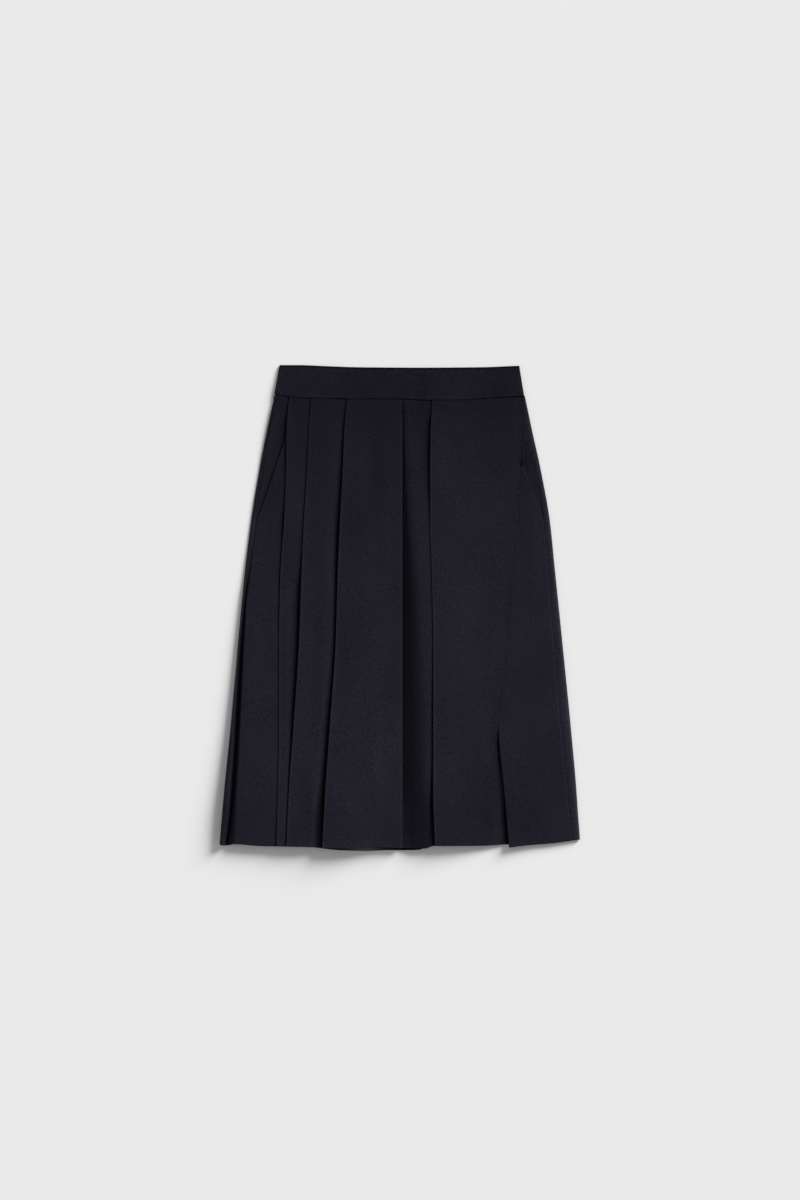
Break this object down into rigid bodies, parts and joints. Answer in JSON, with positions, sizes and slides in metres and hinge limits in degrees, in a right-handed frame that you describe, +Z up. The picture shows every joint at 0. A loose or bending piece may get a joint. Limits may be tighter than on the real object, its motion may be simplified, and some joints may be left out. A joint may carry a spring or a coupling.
{
  "type": "pleated midi skirt",
  "caption": "Dark wool midi skirt with knife pleats, a box pleat, slanted side pockets, a plain waistband and a kick pleat, laid flat.",
  "frame": {"origin": "on the surface that the skirt lies on, under the middle of its outline", "axes": "+Y along the skirt's length to the waist edge, +X to the right seen from above, +Z up off the surface; the front of the skirt faces +Z"},
  "size_m": [0.5398, 0.7273, 0.016],
  "materials": {
    "wool_front": "fine matte worsted wool, navy that is nearly black",
    "wool_back": "fine matte worsted wool, navy that is nearly black",
    "wool_band": "fine matte worsted wool over a firm interlining"
  },
  "bodies": {
    "root": {"back_panel": "wool_back", "front_pleated": "wool_front", "front_side": "wool_front", "hip_left": "wool_front", "hip_right": "wool_front", "waistband_front": "wool_band", "waistband_back": "wool_band"}
  },
  "joints": []
}
